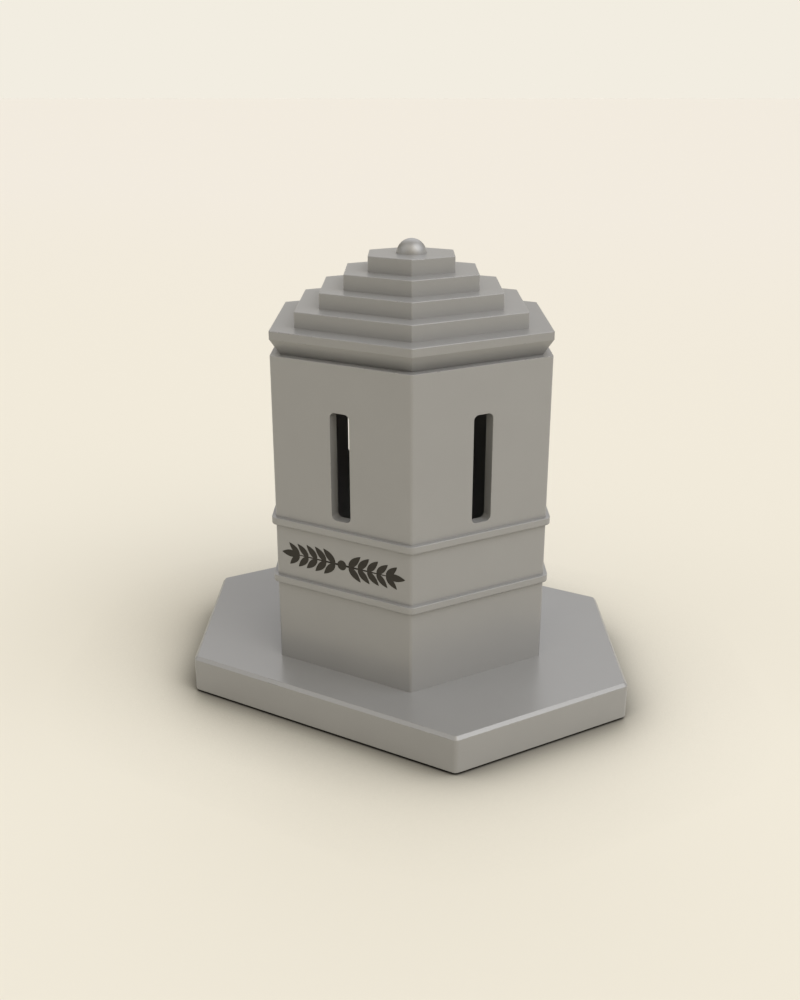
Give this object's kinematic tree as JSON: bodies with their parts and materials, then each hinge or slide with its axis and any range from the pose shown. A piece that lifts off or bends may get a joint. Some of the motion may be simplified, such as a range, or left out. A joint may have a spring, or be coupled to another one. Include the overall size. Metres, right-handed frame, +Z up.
{
  "type": "besamim spice box",
  "caption": "Free-standing hexagonal spice box with slit walls, two beads round the body, a wide base plate and a stepped lift-off lid under a small ball.",
  "frame": {"origin": "centre of the underside of the pad, on the surface that the box stands on, in the middle of the base plate", "axes": "+Z up and out of the lid; +X along the base plate's long way, parallel to the front and back faces of the body; -Y towards the front face of the body, whose axis lies 1.75 mm behind the origin"},
  "size_m": [0.0982, 0.0676, 0.0886],
  "materials": {
    "satin_metal": "bead-blasted, clear anodised, satin grey",
    "bright_metal": "turned and finely polished, clear anodised, soft sheen",
    "fixing_steel": "zinc-plated",
    "foot_pad": "matt black foam rubber"
  },
  "bodies": {
    "box": {"base_plate": "satin_metal", "base_pad": "foot_pad", "body_screws": "fixing_steel", "floor_block": "satin_metal", "body_shell": "satin_metal", "lower_bead": "satin_metal", "upper_bead": "satin_metal"},
    "lid": {"lid_plug": "satin_metal", "eaves_plate": "satin_metal", "roof_plate_2": "satin_metal", "roof_plate_3": "satin_metal", "roof_plate_4": "satin_metal", "crown_plate": "satin_metal", "stack_pins": "fixing_steel", "lid_screw": "fixing_steel", "finial_ball": "bright_metal"}
  },
  "joints": [
    {"name": "lid_lift", "type": "slide", "parent": "box", "child": "lid", "axis": [0, 0, 1], "range_m": [0, 0.04]}
  ]
}
